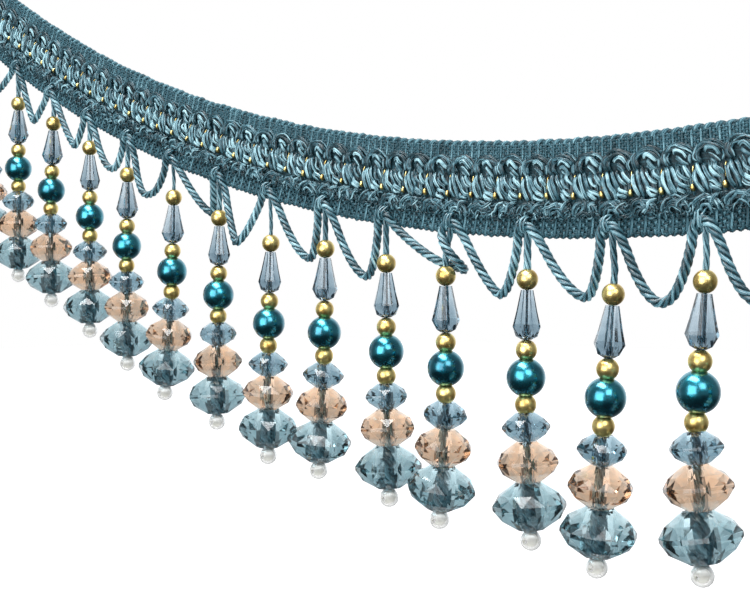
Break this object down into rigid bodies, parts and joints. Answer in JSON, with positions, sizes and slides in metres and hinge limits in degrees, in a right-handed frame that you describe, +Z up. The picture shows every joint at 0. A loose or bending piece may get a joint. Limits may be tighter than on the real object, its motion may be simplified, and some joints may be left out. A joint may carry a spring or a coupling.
{
  "type": "beaded fringe trim",
  "caption": "Teal braid trim hung in a swag, with twisted cord loops along its lower edge and drops of gold, pearl and cut glass-look beads",
  "frame": {"origin": "on the braid's top edge at mid-length, in the middle of its thickness", "axes": "+X along the trim towards its lower end, -Y is the front that carries the worked rows, +Z up"},
  "size_m": [0.3487, 0.025, 0.194],
  "materials": {
    "braid_yarn": "woven, satin",
    "scroll_yarn": "twisted, satin",
    "plait_yarn": "glossy filament",
    "cord_yarn": "twisted, satin",
    "grey_blue_crystal": "clear, cut",
    "teal_pearl": "pearl lacquer",
    "teal_crystal": "clear, cut",
    "gold_bead": "gold metallized",
    "peach_crystal": "clear, cut",
    "clear_crystal": "clear, round"
  },
  "bodies": {
    "root": {"braid": "braid_yarn", "scroll_lower": "scroll_yarn", "centre_plait": "plait_yarn", "scroll_upper": "scroll_yarn", "fringe": "cord_yarn", "drop_00_teardrop": "grey_blue_crystal", "drop_00_pearl": "teal_pearl", "drop_00_rondelles": "teal_crystal", "drop_01_teardrop": "grey_blue_crystal", "drop_01_pearl": "teal_pearl", "drop_01_rondelles": "teal_crystal", "drop_02_teardrop": "grey_blue_crystal", "drop_02_pearl": "teal_pearl", "drop_02_rondelles": "teal_crystal", "drop_03_teardrop": "grey_blue_crystal", "drop_03_pearl": "teal_pearl", "drop_03_rondelles": "teal_crystal", "drop_04_teardrop": "grey_blue_crystal", "drop_04_pearl": "teal_pearl", "drop_04_rondelles": "teal_crystal", "drop_05_teardrop": "grey_blue_crystal", "drop_05_pearl": "teal_pearl", "drop_05_rondelles": "teal_crystal", "drop_06_teardrop": "grey_blue_crystal", "drop_06_pearl": "teal_pearl", "drop_06_rondelles": "teal_crystal", "drop_07_teardrop": "grey_blue_crystal", "drop_07_pearl": "teal_pearl", "drop_07_rondelles": "teal_crystal", "drop_08_teardrop": "grey_blue_crystal", "drop_08_pearl": "teal_pearl", "drop_08_rondelles": "teal_crystal", "drop_09_teardrop": "grey_blue_crystal", "drop_09_pearl": "teal_pearl", "drop_09_rondelles": "teal_crystal", "drop_10_teardrop": "grey_blue_crystal", "drop_10_pearl": "teal_pearl", "drop_10_rondelles": "teal_crystal", "drop_11_teardrop": "grey_blue_crystal", "drop_11_pearl": "teal_pearl", "drop_11_rondelles": "teal_crystal", "drop_12_teardrop": "grey_blue_crystal", "drop_12_pearl": "teal_pearl", "drop_12_rondelles": "teal_crystal", "drop_13_teardrop": "grey_blue_crystal", "drop_13_pearl": "teal_pearl", "drop_13_rondelles": "teal_crystal", "drop_14_teardrop": "grey_blue_crystal", "drop_14_pearl": "teal_pearl", "drop_14_rondelles": "teal_crystal"}
  },
  "joints": []
}
